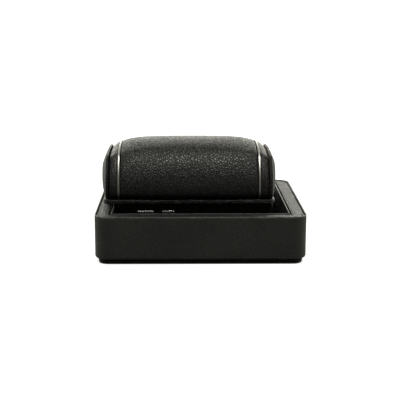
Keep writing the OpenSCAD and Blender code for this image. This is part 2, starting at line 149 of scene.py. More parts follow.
def frame_grid(profile: np.ndarray, half: Pair, radius: float,
               centre: Pair = (0.0, 0.0), tightest: float = 0.4 * MM,
               arc_steps: int = 8) -> np.ndarray:
    """Carries a profile round a rectangle with round corners.

    A profile point (d, z) becomes the ring whose half sizes and corner radius are the
    outer ones less d, at height z.

    Args:
        profile: (M, 2) points of distance in from the outer face, and height.
        half: Outer half sizes along X and Y.
        radius: Outer corner radius.
        centre: Centre of the rectangle.
        tightest: The smallest corner radius of any ring.
        arc_steps: Pieces in each corner.

    Returns:
        An array of (M, N, 3) points, one ring for each profile point.
    """
    rings = []
    for inset, height in profile:
        corner = max(radius - inset, tightest)
        ring = rounded_rectangle(half[0] - inset, half[1] - inset, corner, arc_steps)
        rings.append(np.column_stack([ring + np.asarray(centre), np.full(len(ring), height)]))
    return np.stack(rings)


def signed_volume(points: np.ndarray, triangles: np.ndarray) -> float:
    """Sum of a . (b x c) / 6 over the triangles; it is positive when they face outwards."""
    a, b, c = (points[triangles[:, k]] for k in range(3))
    return float(np.einsum("ij,ij->i", a, np.cross(b, c)).sum() / 6)


def surface(name: str, grid: np.ndarray, looped: bool, edge: np.ndarray | None = None,
            sharp: float = 50.0) -> bpy.types.Object:
    """Closed surface through rings, with its faces turned outwards.

    grid[i, j] is point j of ring i. Every ring closes on itself. The last ring joins
    the first when looped; otherwise one face caps each of the two end rings.

    Args:
        name: Name of the new object.
        grid: (M, N, 3) points.
        looped: Whether the row of rings closes on itself.
        edge: One value for each ring, kept as the attribute EDGE for edge wear and painted highlight.
        sharp: Angle in degrees past which an edge is shaded sharp.

    Returns:
        The new object, linked to the scene.
    """
    rows, columns = grid.shape[:2]
    i = np.arange(rows if looped else rows - 1)[:, None]
    j = np.arange(columns)[None, :]
    after_i, after_j = (i + 1) % rows, (j + 1) % columns
    quads = np.stack([i * columns + j, i * columns + after_j, after_i * columns + after_j,
                      after_i * columns + j], -1).reshape(-1, 4)
    first, last = np.arange(columns)[::-1], np.arange(columns) + (rows - 1) * columns
    caps = [] if looped else [first, last]
    fans = [np.stack([np.full(columns - 2, c[0]), c[1:-1], c[2:]], -1) for c in caps]
    triangles = np.concatenate([quads[:, [0, 1, 2]], quads[:, [0, 2, 3]], *fans])
    points = grid.reshape(-1, 3)
    turned = signed_volume(points - points.mean(0), triangles) < 0
    faces = [f[::-1].tolist() if turned else f.tolist() for f in [*quads, *caps]]
    mesh = bpy.data.meshes.new(name)
    mesh.from_pydata(points.tolist(), [], faces)
    mesh.update()
    mesh.shade_smooth()
    mesh.set_sharp_from_angle(angle=math.radians(sharp))
    values = np.zeros(rows) if edge is None else np.asarray(edge, float)
    attribute = mesh.attributes.new(EDGE, "FLOAT", "POINT")
    attribute.data.foreach_set("value", np.repeat(values, columns).astype(np.float32))
    made = bpy.data.objects.new(name, mesh)
    bpy.context.scene.collection.objects.link(made)
    return made


def plate_profile(bottom: float, top: float, lower_r: float, upper_r: float, reach: float,
                  top_steps: int = 6) -> tuple[np.ndarray, np.ndarray]:
    """Profile of a flat plate with rounded edges, from its underside round to its top.

    Two quarter circles join the underside, the outer face and the top.

    Args:
        bottom: Height of the underside.
        top: Height of the top.
        lower_r: Radius of the lower edge.
        upper_r: Radius of the upper edge.
        reach: Distance in from the outer face at which the end rings lie.
        top_steps: Rings across the top.

    Returns:
        The (M, 2) profile, and for each point 1 on the upper rounding and 0 elsewhere.
    """
    lower = arc((lower_r, bottom + lower_r), lower_r, 270, 180)
    upper = arc((upper_r, top - upper_r), upper_r, 180, 90)
    share = np.linspace(0, 1, top_steps + 1)[1:]
    flat = np.column_stack([upper_r + share * (reach - upper_r), np.full(top_steps, top)])
    start = [[reach, bottom], [lower_r + 0.3 * MM, bottom]]
    profile = np.concatenate([start, lower, upper, flat])
    edge = np.zeros(len(profile))
    edge[2 + len(lower):2 + len(lower) + len(upper)] = np.sin(np.linspace(0, math.pi, len(upper)))
    return profile, edge


# --- Materials ----------------------------------------------------------------


class Nodes:
    """Short way to add and join shader nodes in one tree."""

    def __init__(self, tree: bpy.types.NodeTree) -> None:
        """Works in tree."""
        self.tree = tree

    def add(self, kind: str, **settings: object) -> bpy.types.Node:
        """Adds a node.

        Args:
            kind: The node's type.
            settings: Values for its properties.

        Returns:
            The new node.
        """
        node = self.tree.nodes.new(kind)
        for key, value in settings.items():
            setattr(node, key, value)
        return node

    def join(self, source: bpy.types.NodeSocket, target: bpy.types.NodeSocket) -> None:
        """Links one socket to another."""
        self.tree.links.new(source, target)

    def feed(self, value: object, target: bpy.types.NodeSocket) -> None:
        """Links a socket to another, or sets it to a plain value.

        Args:
            value: The socket or the value to use.
            target: The input that takes it.
        """
        if isinstance(value, bpy.types.NodeSocket):
            self.join(value, target)
        else:
            target.default_value = value

    def math(self, operation: str, *values: object) -> bpy.types.NodeSocket:
        """Adds a Math node.

        Args:
            operation: What the node works out.
            values: One to three sockets or numbers.

        Returns:
            Its result.
        """
        node = self.add("ShaderNodeMath", operation=operation)
        for value, target in zip(values, node.inputs):
            self.feed(value, target)
        return node.outputs[0]

    def spread(self, value: object, low: float, high: float, to_low: float,
               to_high: float) -> bpy.types.NodeSocket:
        """Maps a value from one range to another along a smooth step.

        Args:
            value: The socket to map.
            low: Where the first range starts.
            high: Where the first range ends.
            to_low: The result at its start.
            to_high: The result at its end.

        Returns:
            The mapped value.
        """
        node = self.add("ShaderNodeMapRange", interpolation_type="SMOOTHSTEP")
        for given, target in zip((value, low, high, to_low, to_high), node.inputs):
            self.feed(given, target)
        return node.outputs[0]

    def mix(self, share: object, first: object, second: object) -> bpy.types.NodeSocket:
        """Mixes two colours.

        Args:
            share: Share of the second colour, from 0 to 1.
            first: Colour where the share is 0.
            second: Colour where the share is 1.

        Returns:
            The mixed colour.
        """
        node = self.add("ShaderNodeMix", data_type="RGBA")
        for value, place in zip((share, first, second), (0, 6, 7)):
            self.feed(value, node.inputs[place])
        return node.outputs[2]

    def noise(self, vector: object, scale: object, detail: float = 3.0,
              roughness: float = 0.5) -> bpy.types.NodeSocket:
        """Adds a noise texture.

        Args:
            vector: Where the noise is read.
            scale: How many features fit in a metre.
            detail: How many finer layers lie on top.
            roughness: How strong the finer layers are.

        Returns:
            The noise, from 0 to 1.
        """
        node = self.add("ShaderNodeTexNoise")
        self.feed(vector, node.inputs["Vector"])
        self.feed(scale, node.inputs["Scale"])
        node.inputs["Detail"].default_value = detail
        node.inputs["Roughness"].default_value = roughness
        return node.outputs[0]


@dataclass(frozen=True)
class Port:
    """One socket of a node group."""

    name: str
    kind: str = "NodeSocketFloat"
    out: bool = False


def new_group(name: str, ports: list[Port]) -> tuple[
        bpy.types.NodeTree, Nodes, bpy.types.Node, bpy.types.Node]:
    """Empty node group with named sockets.

    Args:
        name: Name of the group.
        ports: Its inputs and outputs.

    Returns:
        The group, its node helper, its input node and its output node.
    """
    tree = bpy.data.node_groups.new(name, "ShaderNodeTree")
    for port in ports:
        tree.interface.new_socket(port.name, in_out="OUTPUT" if port.out else "INPUT", socket_type=port.kind)
    nodes = Nodes(tree)
    return tree, nodes, nodes.add("NodeGroupInput"), nodes.add("NodeGroupOutput")


class Effects:
    """Node groups that several finishes share, each built once."""

    def __init__(self) -> None:
        """Builds the groups."""
        self.pebble = self._pebble()
        self.wear_and_highlight = self._wear_and_highlight()
        self.dust = self._dust()

    @staticmethod
    def _pebble() -> bpy.types.NodeTree:
        """Pebbled hide.

        Rounded cells come from the distance to the nearest cell border, bent by a
        slow noise; finer cells and pores lie on top. Height is their weighted sum,
        and Valley is 1 in the creases between the cells.

        Returns:
            The group.
        """
        tree, n, given, made = new_group("pebble_grain", [
            Port("Vector", "NodeSocketVector"), Port("Cells"), Port("Crease"),
            Port("Height", out=True), Port("Valley", out=True),
        ])
        bend = n.add("ShaderNodeTexNoise")
        bend.inputs["Detail"].default_value = 2.0
        n.join(given.outputs["Vector"], bend.inputs["Vector"])
        n.join(n.math("MULTIPLY", given.outputs["Cells"], 0.6), bend.inputs["Scale"])
        offset = n.add("ShaderNodeVectorMath", operation="SCALE")
        n.join(bend.outputs["Color"], offset.inputs[0])
        n.join(n.math("DIVIDE", 0.4, given.outputs["Cells"]), offset.inputs["Scale"])
        bent = n.add("ShaderNodeVectorMath", operation="ADD")
        n.join(given.outputs["Vector"], bent.inputs[0])
        n.join(offset.outputs[0], bent.inputs[1])
        heights = []
        for finer, crease in ((1.0, given.outputs["Crease"]), (2.3, 0.3)):
            cells = n.add("ShaderNodeTexVoronoi", feature="DISTANCE_TO_EDGE")
            n.join(bent.outputs[0], cells.inputs["Vector"])
            n.join(n.math("MULTIPLY", given.outputs["Cells"], finer), cells.inputs["Scale"])
            heights.append(n.spread(cells.outputs["Distance"], 0.0, crease, 0.0, 1.0))
        dome, fine = heights
        pores = n.noise(given.outputs["Vector"], n.math("MULTIPLY", given.outputs["Cells"], 5.0), 2.0)
        height = n.math("ADD", n.math("MULTIPLY", dome, 0.85), n.math("MULTIPLY", fine, 0.1))
        height = n.math("ADD", height, n.math("MULTIPLY", pores, 0.05))
        n.join(height, made.inputs["Height"])
        n.join(n.math("SUBTRACT", 1.0, dome), made.inputs["Valley"])
        return tree

    @staticmethod
    def _wear_and_highlight() -> bpy.types.NodeTree:
        """Lighter edges, partly wear and partly painted highlight: the piece's edge value, broken up by
        noise, from 0 to 1.

        Returns:
            The group.
        """
        tree, n, given, made = new_group("edge_wear_and_highlight", [
            Port("Vector", "NodeSocketVector"), Port("Amount"), Port("Mask", out=True),
        ])
        edge = n.add("ShaderNodeAttribute", attribute_name=EDGE)
        patches = n.spread(n.noise(given.outputs["Vector"], 160.0, 5.0, 0.62), 0.42, 0.66, 0.35, 1.0)
        mask = n.math("MULTIPLY", edge.outputs["Fac"], patches)
        n.join(n.math("MULTIPLY", mask, given.outputs["Amount"]), made.inputs["Mask"])
        return tree

    @staticmethod
    def _dust() -> bpy.types.NodeTree:
        """Fine dust on faces that look up: sparse noise specks times the normal's height.

        Returns:
            The group.
        """
        tree, n, given, made = new_group("settled_dust", [
            Port("Vector", "NodeSocketVector"), Port("Amount"), Port("Mask", out=True),
        ])
        geometry = n.add("ShaderNodeNewGeometry")
        parts = n.add("ShaderNodeSeparateXYZ")
        n.join(geometry.outputs["Normal"], parts.inputs[0])
        up = n.spread(parts.outputs["Z"], 0.2, 0.95, 0.0, 1.0)
        specks = n.spread(n.noise(given.outputs["Vector"], 2600.0, 2.0), 0.66, 0.78, 0.0, 1.0)
        haze = n.spread(n.noise(given.outputs["Vector"], 55.0, 4.0), 0.4, 0.75, 0.0, 0.35)
        mask = n.math("MULTIPLY", n.math("MAXIMUM", specks, haze), up)
        n.join(n.math("MULTIPLY", mask, given.outputs["Amount"]), made.inputs["Mask"])
        return tree


@dataclass(frozen=True)
class Finish:
    """What every finish has: a name, a colour, a roughness and a specular level."""

    name: str
    colour: Colour
    roughness: float
    gloss: float = 0.5

    def start(self) -> tuple[bpy.types.Material, Nodes, bpy.types.Node, bpy.types.NodeSocket]:
        """Makes the material and sets its roughness and gloss.

        Returns:
            The material, its node helper, its Principled shader and the object coordinates.
        """
        material = bpy.data.materials.new(self.name)
        material.use_nodes = True
        n = Nodes(material.node_tree)
        shader = material.node_tree.nodes["Principled BSDF"]
        shader.inputs["Roughness"].default_value = self.roughness
        shader.inputs["Specular IOR Level"].default_value = self.gloss
        place = n.add("ShaderNodeTexCoord").outputs["Object"]
        return material, n, shader, place

    def use(self, n: Nodes, tree: bpy.types.NodeTree, place: bpy.types.NodeSocket,
            **values: float) -> bpy.types.Node:
        """Places a shared group.

        Args:
            n: The material's node helper.
            tree: The group.
            place: The object coordinates.
            values: Values for the group's other inputs.

        Returns:
            The group's node.
        """
        node = n.add("ShaderNodeGroup", node_tree=tree)
        n.join(place, node.inputs["Vector"])
        for key, value in values.items():
            node.inputs[key].default_value = value
        return node

    def bump(self, n: Nodes, shader: bpy.types.Node, height: bpy.types.NodeSocket,
             depth: float) -> None:
        """Feeds a height into the shader's normal.

        Args:
            n: The material's node helper.
            shader: The Principled shader.
            height: The relief, from 0 to 1.
            depth: How deep the whole relief is.
        """
        node = n.add("ShaderNodeBump")
        node.inputs["Strength"].default_value = 1.0
        node.inputs["Distance"].default_value = depth
        n.join(height, node.inputs["Height"])
        n.join(node.outputs["Normal"], shader.inputs["Normal"])

    def tint(self, factor: float) -> tuple[float, float, float, float]:
        """The finish's colour times a factor, with alpha 1."""
        return (*(min(1.0, c * factor) for c in self.colour), 1.0)


@dataclass(frozen=True)
class Leather(Finish):
    """Coated leather with a pebble or a fine grain."""

    cell: float = 1.6 * MM
    crease: float = 0.33
    depth: float = 0.17 * MM
    # how far the creases go towards a dull metal, as painted shade
    crevice_shade: float = 0.62
    wear_and_highlight: float = 0.5
    dust: float = 0.1
    valley_rough: float = 0.25
    lip_relief: float = 0.0

    def build(self, effects: Effects) -> bpy.types.Material:
        """Grain, slow colour drift, edges lightened as wear and partly as painted highlight, and a little
        dust on one shader.

        The creases carry painted shade: their colour is darkened, and there the shader goes
        towards a metal of almost no colour, which reflects nothing, so they lose their gloss.

        Args:
            effects: The shared node groups.

        Returns:
            The material.
        """
        material, n, shader, place = self.start()
        grain = self.use(n, effects.pebble, place, Cells=1 / self.cell, Crease=self.crease)
        wear_and_highlight = self.use(n, effects.wear_and_highlight, place, Amount=self.wear_and_highlight)
        dust = self.use(n, effects.dust, place, Amount=self.dust)
        drift = n.spread(n.noise(place, 34.0, 3.0), 0.3, 0.7, 0.0, 1.0)
        colour = n.mix(drift, self.tint(0.82), self.tint(1.2))
        # painted shade: the creases between the cells are darkened
        colour = n.mix(n.math("MULTIPLY", grain.outputs["Valley"], 0.65), colour, self.tint(0.3))
        # edges lightened, partly as wear and partly as painted highlight on rounded edges
        colour = n.mix(wear_and_highlight.outputs["Mask"], colour, self.tint(2.6))
        colour = n.mix(dust.outputs["Mask"], colour, DUST_COLOUR)
        n.join(colour, shader.inputs["Base Color"])
        rough = n.math("MULTIPLY_ADD", grain.outputs["Valley"], self.valley_rough, self.roughness)
        rough = n.math("SUBTRACT", rough, n.math("MULTIPLY", wear_and_highlight.outputs["Mask"], 0.1))
        rough = n.math("ADD", rough, n.math("MULTIPLY", drift, 0.04))
        n.join(rough, shader.inputs["Roughness"])
        # painted shade: metal in the creases takes their gloss away
        crease_shade = n.math("MULTIPLY", grain.outputs["Valley"], self.crevice_shade)
        n.join(crease_shade, shader.inputs["Metallic"])
        edge = n.add("ShaderNodeAttribute", attribute_name=EDGE).outputs["Fac"]
        raised = n.math("MULTIPLY_ADD", edge, self.lip_relief, 1.0)
        self.bump(n, shader, n.math("MULTIPLY", grain.outputs["Height"], raised), self.depth)
        return material


@dataclass(frozen=True)
class Metal(Finish):
    """Polished or turned metal with hairlines and faint smears."""

    hairline: tuple[float, float, float] = (60.0, 3000.0, 3000.0)
    depth: float = 0.004 * MM

    def build(self, effects: Effects) -> bpy.types.Material:
        """Hairlines stretched along one direction, and smears that change the roughness.

        Args:
            effects: The shared node groups.

        Returns:
            The material.
        """
        material, n, shader, place = self.start()
        shader.inputs["Metallic"].default_value = 1.0
        stretch = n.add("ShaderNodeMapping")
        stretch.inputs["Scale"].default_value = self.hairline
        n.join(place, stretch.inputs["Vector"])
        lines = n.noise(stretch.outputs[0], 1.0, 3.0)
        smear = n.spread(n.noise(place, 140.0, 4.0), 0.35, 0.7, 0.0, 1.0)
        wear_and_highlight = self.use(n, effects.wear_and_highlight, place, Amount=0.4)
        colour = n.mix(smear, self.tint(1.0), self.tint(0.86))
        n.join(n.mix(wear_and_highlight.outputs["Mask"], colour, self.tint(1.15)), shader.inputs["Base Color"])
        rough = n.math("MULTIPLY_ADD", smear, 0.1, self.roughness)
        n.join(n.math("ADD", rough, n.math("MULTIPLY", lines, 0.06)), shader.inputs["Roughness"])
        self.bump(n, shader, lines, self.depth)
        return material


@dataclass(frozen=True)
class Napped(Finish):
    """Felt, suede or foam: short fibres or cells with a soft sheen."""

    fibre: float = 0.25 * MM
    depth: float = 0.12 * MM
    sheen: float = 0.4

    def build(self, effects: Effects) -> bpy.types.Material:
        """Fibres from fine noise, and brushed patches that darken the nap.

        Args:
            effects: The shared node groups.

        Returns:
            The material.
        """
        material, n, shader, place = self.start()
        shader.inputs["Sheen Weight"].default_value = self.sheen
        shader.inputs["Sheen Roughness"].default_value = 0.6
        fibres = n.noise(place, 1 / self.fibre, 4.0, 0.65)
        brushed = n.spread(n.noise(place, 70.0, 3.0), 0.4, 0.62, 0.0, 1.0)
        dust = self.use(n, effects.dust, place, Amount=0.2)
        colour = n.mix(brushed, self.tint(0.75), self.tint(1.25))
        colour = n.mix(n.math("MULTIPLY", fibres, 0.5), colour, self.tint(1.7))
        n.join(n.mix(dust.outputs["Mask"], colour, LINT_COLOUR), shader.inputs["Base Color"])
        self.bump(n, shader, fibres, self.depth)
        return material


@dataclass(frozen=True)
class Pressed(Finish):
    """Fibreboard, painted board or moulded plastic: a fine even speckle."""

    speck: float = 0.6 * MM
    contrast: float = 0.35
    depth: float = 0.03 * MM

    def build(self, effects: Effects) -> bpy.types.Material:
        """Fine specks over slow patches in the colour, and the specks in the relief.

        Args:
            effects: The shared node groups.

        Returns:
            The material.
        """
        material, n, shader, place = self.start()
        coarse = n.noise(place, 1 / self.speck, 4.0, 0.7)
        slow = n.spread(n.noise(place, 45.0, 2.0), 0.35, 0.65, 0.0, 1.0)
        wear_and_highlight = self.use(n, effects.wear_and_highlight, place, Amount=0.45)
        colour = n.mix(coarse, self.tint(1 - self.contrast), self.tint(1 + self.contrast))
        colour = n.mix(n.math("MULTIPLY", slow, 0.25), colour, self.tint(0.7))
        n.join(n.mix(wear_and_highlight.outputs["Mask"], colour, self.tint(1.8)), shader.inputs["Base Color"])
        n.join(n.math("MULTIPLY_ADD", coarse, 0.12, self.roughness), shader.inputs["Roughness"])
        self.bump(n, shader, coarse, self.depth)
        return material


class Palette:
    """Every finish of the tray, built once."""

    def __init__(self, effects: Effects) -> None:
        """Builds the materials.

        Args:
            effects: The shared node groups.
        """
        black, deep = (0.006, 0.006, 0.0056), (0.003, 0.003, 0.003)
        self.pebbled = Leather("pebbled_black_leather", black, 0.35, dust=0.02).build(effects)
        self.strip = Leather("collar_leather", black, 0.36, 0.46, cell=1.4 * MM, depth=0.27 * MM,
                             dust=0.02).build(effects)
        self.saddle = Leather("saddle_leather", deep, 0.3, 0.35, cell=1.4 * MM, depth=0.34 * MM,
                              wear_and_highlight=0.2).build(effects)
        # the full edge amount lights the lip and lower edge, partly as painted highlight
        self.smooth = Leather("smooth_black_leather", (0.021, 0.0208, 0.0192), 0.5, 0.4, cell=1.1 * MM,
                              depth=0.03 * MM, crevice_shade=0.12, wear_and_highlight=1.0, valley_rough=0.08,
                              lip_relief=5.0).build(effects)
        self.pedestal = Leather("pedestal_leather", deep, 0.45, 0.35, depth=0.1 * MM).build(effects)
        # the full edge amount lights the liners' top edges, partly as painted highlight
        self.lining = Leather("lining_leather", black, 0.36, 0.6, cell=0.45 * MM, depth=0.03 * MM,
                              crevice_shade=0.2, wear_and_highlight=1.0).build(effects)
        self.suede = Napped("black_suede", (0.008, 0.008, 0.0085), 0.95, sheen=0.15).build(effects)
        self.felt = Napped("black_felt", (0.01, 0.01, 0.01), 0.98, fibre=0.5 * MM,
                           depth=0.2 * MM).build(effects)
        self.bright = Metal("polished_steel", (0.34, 0.333, 0.318), 0.34).build(effects)
        self.plate = Metal("polished_plate", (0.9, 0.9, 0.88), 0.14).build(effects)
        self.screw = Metal("plated_screw", (0.55, 0.55, 0.54), 0.32,
                           hairline=(900.0, 900.0, 900.0)).build(effects)
        self.brass = Metal("turned_brass", (0.72, 0.52, 0.24), 0.24,
                           hairline=(300.0, 300.0, 4000.0)).build(effects)
        self.board = Pressed("fibreboard", (0.33, 0.235, 0.15), 0.8).build(effects)
        self.dyed = Pressed("dyed_board", deep, 0.85, 0.2, contrast=0.4).build(effects)
        self.paint = Pressed("painted_board", (0.002, 0.002, 0.002), 0.6, 0.2, contrast=0.2,
                             depth=0.015 * MM).build(effects)
        self.plastic = Pressed("moulded_core", (0.025, 0.025, 0.027), 0.5, contrast=0.15).build(effects)


# --- Pieces -------------------------------------------------------------------


@dataclass
class Assembly:
    """A group of pieces on one body. Subclasses hold sizes and build the meshes."""

    palette: Palette

    def place(self, piece: bpy.types.Object, material: bpy.types.Material, body: Body, slot: str,
              *nodes: str) -> bpy.types.Object:
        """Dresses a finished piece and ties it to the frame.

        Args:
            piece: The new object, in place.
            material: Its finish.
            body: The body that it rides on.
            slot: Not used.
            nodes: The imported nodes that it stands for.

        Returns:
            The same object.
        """
        piece.data.materials.append(material)
        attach(piece, body.value)
        if nodes:
            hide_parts(*nodes)
        log.info("%s: %d faces on %s", piece.name, len(piece.data.polygons), body.value)
        return piece

    def dress(self, material: bpy.types.Material, *nodes: str) -> None:
        """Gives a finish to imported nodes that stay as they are.

        Args:
            material: The finish.
            nodes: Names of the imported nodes.
        """
        for name in nodes:
            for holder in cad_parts[name].material_slots:
                holder.material = material


def footprint(node: str) -> tuple[Vector, Vector, Pair, Pair]:
    """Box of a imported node, with its middle and its half sizes in plan.

    Args:
        node: The node's name.

    Returns:
        The low corner, the high corner, the middle and the half sizes.
    """
    low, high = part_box(node)
    centre = ((low.x + high.x) / 2, (low.y + high.y) / 2)
    return low, high, centre, ((high.x - low.x) / 2, (high.y - low.y) / 2)


@dataclass
class Case(Assembly):
    """Boards in leather, the collar on the rim, the base and its felt."""

    corner: float = 8.5 * MM
    wall: float = 0.9 * MM
    turn_in: float = 3.6 * MM
    lower_r: float = 1.4 * MM
    groove: float = 0.5 * MM
    collar_width: float = 7.4 * MM
    collar_edge: float = 0.35 * MM
    collar_crown: float = 0.22 * MM
    crown_power: float = 0.6
    lip_share: float = 0.42
    sag: float = 0.06 * MM
    base_r: float = 1.1 * MM
    felt_r: float = 0.3 * MM
    base_reach: float = 12 * MM

    def wrap(self) -> None:
        """The case's leather.

        Its section runs from under the boards round the lower edge, up the outer
        face, over the lip and down its inner side, then back along the boards, and
        it is carried round the case.
        """
        low, high, _, half = footprint("case_wrap")
        board_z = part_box("collar_wrap")[0].z
        lip = self.lip_share * self.wall
        corner_z = low.z + self.lower_r
        outer = arc((self.lower_r, corner_z), self.lower_r, 270, 180, 8)
        above_corner, below_lip = 2 * MM, 1.2 * MM
        rise = np.linspace(corner_z + above_corner, high.z - lip - below_lip, 7)
        face = np.column_stack([self.slack(rise, corner_z, high.z), rise])
        over = arc((lip, high.z - lip), lip, 180, 90, 6)
        down = arc((self.wall - lip, high.z - lip), lip, 90, 0, 6)
        inner = arc((self.lower_r, corner_z), self.lower_r - self.wall, 180, 270, 6)
        profile = np.concatenate([
            [[self.turn_in, low.z]], outer, face, over, down, [[self.wall, board_z]], inner,
            [[self.turn_in, low.z + self.wall]],
        ])
        edge = np.zeros(len(profile))
        start = 1 + len(outer) + len(face)
        edge[start:start + len(over) + len(down)] = 1.0
        # the lower edge is lightened through the edge value as painted highlight
        edge[1:1 + len(outer)] = 0.5 * np.sin(np.linspace(0, math.pi, len(outer)))
        grid = frame_grid(profile, half, self.corner, arc_steps=14)
        piece = surface("case_leather", grid, looped=True, edge=edge, sharp=60)
        self.place(piece, self.palette.smooth, Body.CASE, "smooth_leather", "case_wrap")

    def slack(self, height: np.ndarray, low: float, high: float) -> np.ndarray:
        """How far the leather lies in from a flat face: a shallow half sine over the height."""
        return self.sag * np.sin(math.pi * (height - low) / (high - low))

    def collar(self) -> None:
        """Flat padded collar: a rectangle with rounded edges and a slight crown, carried round."""
        low, high, _, half = footprint("collar_wrap")
        r, crown = self.collar_edge, self.collar_crown
        share = np.linspace(0, 1, 9)[1:-1]
        rise = crown * np.sin(math.pi * share) ** self.crown_power
        top = np.column_stack([r + share * (self.collar_width - 2 * r), high.z - crown + rise])
        profile = np.concatenate([
            [[0.0, low.z]], arc((r, high.z - crown - r), r, 180, 90), top,
            arc((self.collar_width - r, high.z - crown - r), r, 90, 0), [[self.collar_width, low.z]],
        ])
        edge = np.zeros(len(profile))
        edge[1:8] = edge[-8:-1] = np.sin(np.linspace(0, math.pi, 7))
        outer_r = self.corner - self.wall - self.groove
        grid = frame_grid(profile, half, outer_r, tightest=1.0 * MM, arc_steps=12)
        piece = surface("collar_leather", grid, looped=True, edge=edge, sharp=60)
        self.place(piece, self.palette.strip, Body.CASE, "grained_leather", "collar_wrap")

    def base(self) -> None:
        """Painted base board and the felt under it, both with softened edges."""
        for name, material, slot, r in (
            ("base_board", self.palette.paint, "base_paint", self.base_r),
            ("base_felt", self.palette.felt, "felt", self.felt_r),
        ):
            low, high, _, half = footprint(name)
            profile, edge = plate_profile(low.z, high.z, r, r, self.base_reach)
            inset = (cad_high.x - cad_low.x) / 2 - half[0]
            grid = frame_grid(profile, half, self.corner - inset, arc_steps=12)
            piece = surface(f"{name}_edge", grid, looped=False, edge=edge, sharp=60)
            self.place(piece, material, Body.CASE, slot, name)

    def inside(self) -> None:
        """Finishes of the hidden boards and screws."""
        self.dress(self.palette.dyed, "carcass_front", "carcass_back", "carcass_left", "carcass_right",
                   "collar_board")
        self.dress(self.palette.screw, "base_screws")

    def build(self) -> None:
        """Builds every piece of the case."""
        self.wrap()
        self.collar()
        self.base()
        self.inside()


@dataclass
class Well(Assembly):
    """Lining boards, floor and pedestal inside the case."""

    liner_r: float = 0.34 * MM
    liner_foot_r: float = 0.1 * MM
    liner_reach: float = 0.37 * MM
    pedestal_corner: float = 1.6 * MM
    pedestal_top_r: float = 0.9 * MM
    pedestal_skin: float = 0.6 * MM
    pedestal_reach: float = 14 * MM
    hole_gap: float = 0.05 * MM
    plate_corner: float = 0.9 * MM
    plate_bevel: float = 0.75 * MM
    plate_reach: float = 3 * MM

    def liners(self) -> None:
        """Four lining boards, each a thin upright plate with a round upper edge."""
        for word in ("front", "back", "left", "right"):
            name = f"liner_{word}"
            low, high, centre, half = footprint(name)
            profile, edge = plate_profile(low.z, high.z, self.liner_foot_r, self.liner_r, self.liner_reach,
                                          top_steps=1)
            grid = frame_grid(profile, half, self.liner_r, centre, tightest=0.02 * MM, arc_steps=4)
            piece = surface(f"{name}_leather", grid, looped=False, edge=edge, sharp=60)
            self.place(piece, self.palette.lining, Body.CASE, "liner_board", name)

    def pedestal(self) -> None:
        """Leather over the pedestal: a thin open box with soft edges and two holes for the sockets."""
        low, high, centre, half = footprint("pedestal_wrap")
        r, skin, reach = self.pedestal_top_r, self.pedestal_skin, self.pedestal_reach
        inset = np.linspace(reach, r + 0.3 * MM, 5)[:-1]
        profile = np.concatenate([
            np.column_stack([inset, np.full(len(inset), high.z)]), arc((r, high.z - r), r, 90, 180),
            [[0.0, low.z], [skin, low.z], [skin, high.z - skin], [reach, high.z - skin]],
        ])
        edge = np.zeros(len(profile))
        edge[4:11] = np.sin(np.linspace(0, math.pi, 7))
        grid = frame_grid(profile, half, self.pedestal_corner, centre)
        piece = surface("pedestal_leather", grid, looped=False, edge=edge, sharp=55)
        self.pierce(piece, high.z)
        self.place(piece, self.palette.pedestal, Body.CASE, "smooth_leather", "pedestal_wrap")

    def pierce(self, piece: bpy.types.Object, top: float) -> None:
        """Cuts the two socket holes: a drum at each socket, taken out of the piece.

        Args:
            piece: The pedestal's leather.
            top: Height of its top.
        """
        low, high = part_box("peg_sockets")
        y = (low.y + high.y) / 2
        socket_r = (high.y - low.y) / 2
        for x in (low.x + socket_r, high.x - socket_r):
            ring = arc((x, y), socket_r + self.hole_gap, 0, 360, 48)[:-1]
            drum = np.stack([np.column_stack([ring, np.full(len(ring), top + dz)]) for dz in (-2 * MM, MM)])
            cutter = surface("cutter", drum, looped=False)
            cut = piece.modifiers.new("hole", "BOOLEAN")
            cut.operation, cut.object, cut.solver = "DIFFERENCE", cutter, "EXACT"
            held = bpy.data.meshes.new_from_object(piece.evaluated_get(bpy.context.evaluated_depsgraph_get()))
            piece.modifiers.clear()
            piece.data = held
            held.set_sharp_from_angle(angle=math.radians(40))
            bpy.data.objects.remove(cutter)

    def plates(self) -> None:
        """Two blank metal plates on the pedestal's front.

        The section carried round each is its back, its side and a straight bevel with
        a short turn at either end.
        """
        for side in Side:
            name = f"nameplate_{side.word}"
            low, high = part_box(name)
            half = ((high.x - low.x) / 2, (high.z - low.z) / 2)
            thick, wide, deep = high.y - low.y, self.plate_bevel, self.plate_bevel * 0.9
            profile = np.array([
                [self.plate_reach, 0.0], [0.0, 0.0], [0.0, thick - deep], [0.08 * wide, thick - 0.9 * deep],
                [0.92 * wide, thick - 0.06 * deep], [1.15 * wide, thick], [self.plate_reach, thick],
            ])
            edge = np.array([0, 0, 0.5, 1, 1, 0.5, 0])
            grid = frame_grid(profile, half, self.plate_corner, tightest=0.1 * MM)
            x, z = (low.x + high.x) / 2, (low.z + high.z) / 2
            upright = np.stack([x + grid[..., 0], high.y - grid[..., 2], z + grid[..., 1]], -1)
            piece = surface(f"{name}_metal", upright, looped=False, edge=edge, sharp=60)
            self.place(piece, self.palette.plate, Body.CASE, "bright_metal", name)

    def inside(self) -> None:
        """Finishes of the floor, the pedestal's boards and its fittings."""
        self.dress(self.palette.suede, "floor_suede")
        self.dress(self.palette.board, "floor_board", "pedestal_frame", "pedestal_top")
        self.dress(self.palette.screw, "pedestal_screws")
        self.dress(self.palette.brass, "peg_sockets")

    def build(self) -> None:
        """Builds every piece in the well."""
        self.liners()
        self.pedestal()
        self.plates()
        self.inside()


